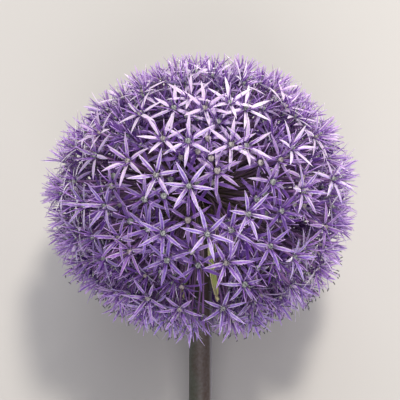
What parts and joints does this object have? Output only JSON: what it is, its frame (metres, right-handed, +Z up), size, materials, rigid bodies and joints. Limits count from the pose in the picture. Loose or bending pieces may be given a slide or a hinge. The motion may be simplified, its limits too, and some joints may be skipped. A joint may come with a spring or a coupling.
{
  "type": "allium flower head",
  "caption": "Cut globe of star-shaped purple florets on thin stalks round the top of a smooth brown-green stem, laid on its side; for displays, gardens and bouquets.",
  "frame": {"origin": "on the surface that the flower lies on, under the middle of its bounding box", "axes": "+Z up; +Y from the stem's cut end towards the head, level with the surface; +X to the right seen from above with the head at the top"},
  "size_m": [0.178, 0.2394, 0.1735],
  "materials": {
    "floret": "soft satin petals, lilac to deep violet, each with a darker line down its middle",
    "stem": "smooth waxy plant skin, olive green turning red-brown, with a grey bloom",
    "bract": "thin papery sheath, pale yellow-green with fine lengthwise ribs and a straw-coloured tip"
  },
  "bodies": {
    "root": {"flower_head": "floret", "stem": "stem", "bract_1": "bract", "bract_2": "bract"}
  },
  "joints": []
}
